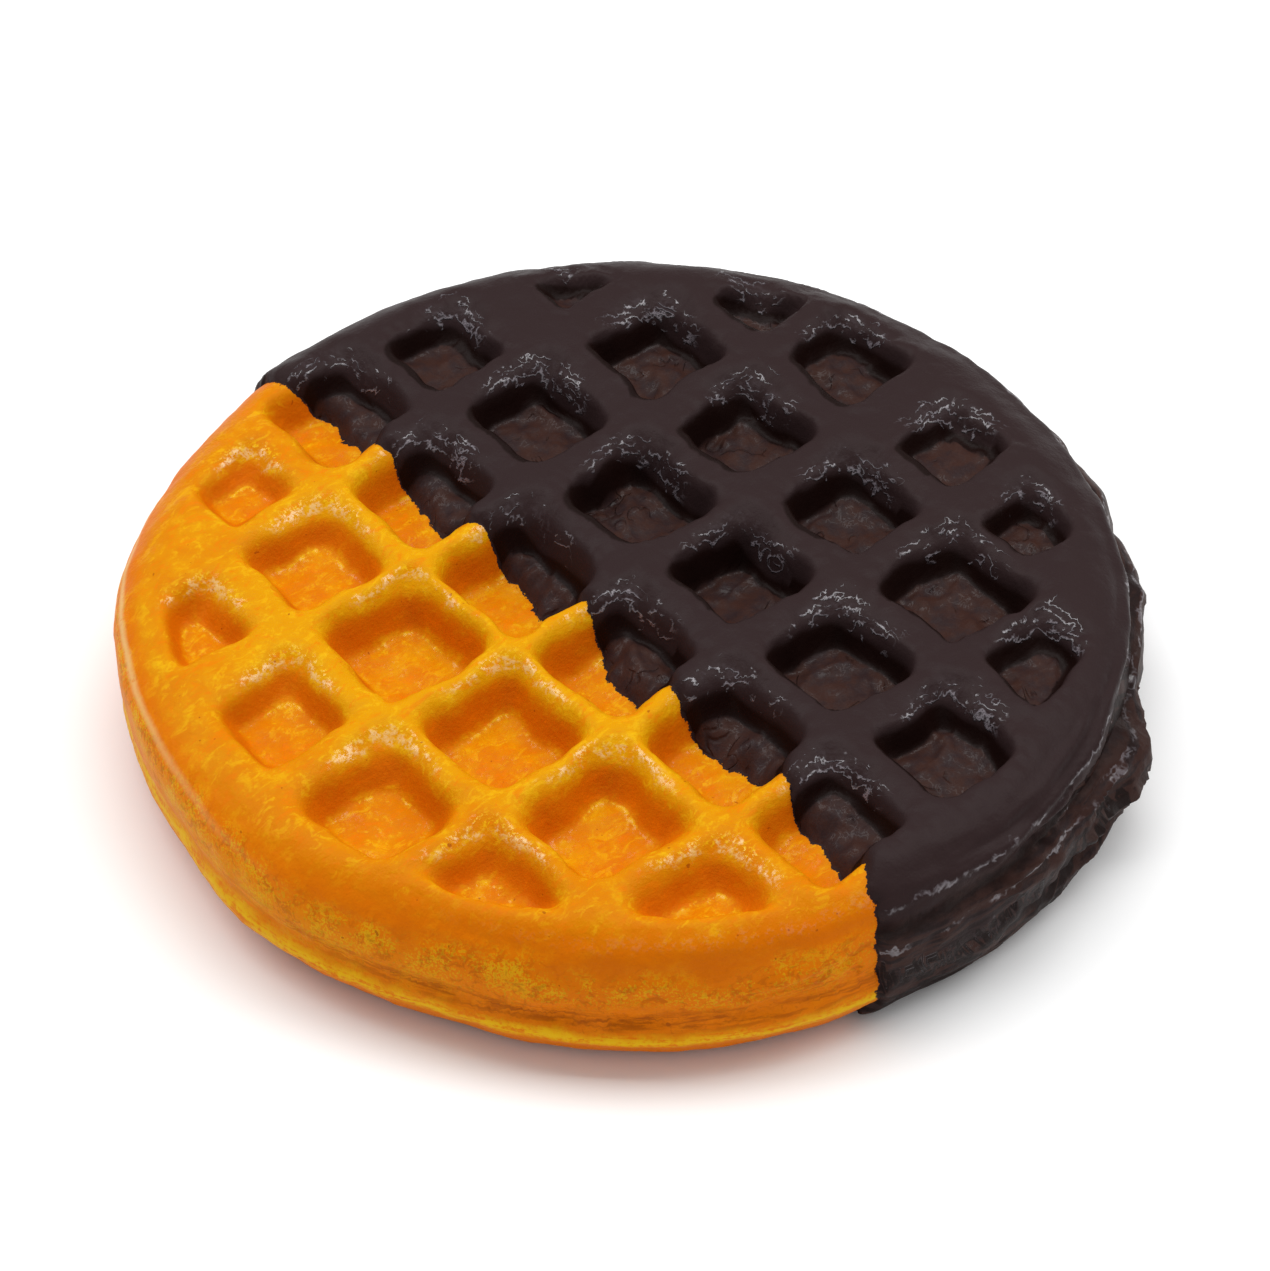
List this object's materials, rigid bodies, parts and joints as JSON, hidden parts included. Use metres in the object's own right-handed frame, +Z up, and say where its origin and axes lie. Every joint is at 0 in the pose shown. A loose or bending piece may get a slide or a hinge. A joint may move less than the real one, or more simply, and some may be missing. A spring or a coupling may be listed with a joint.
{
  "type": "imitation chocolate-dipped waffle",
  "caption": "Round display copy of a toaster waffle with square pockets in both faces, one half wrapped in a thin dark chocolate coat.",
  "frame": {"origin": "on the ground below the middle of the outline", "axes": "+Z up out of the top face, X and Y along the ridges, +X towards the dipped half"},
  "size_m": [0.1016, 0.1004, 0.0181],
  "materials": {
    "painted_waffle": "airbrushed golden yellow over orange, semi-gloss lacquer",
    "dark_chocolate": "dark purple-brown, satin to semi-gloss, slightly wrinkled"
  },
  "bodies": {
    "root": {"waffle": "painted_waffle", "chocolate_coat": "dark_chocolate"}
  },
  "joints": []
}
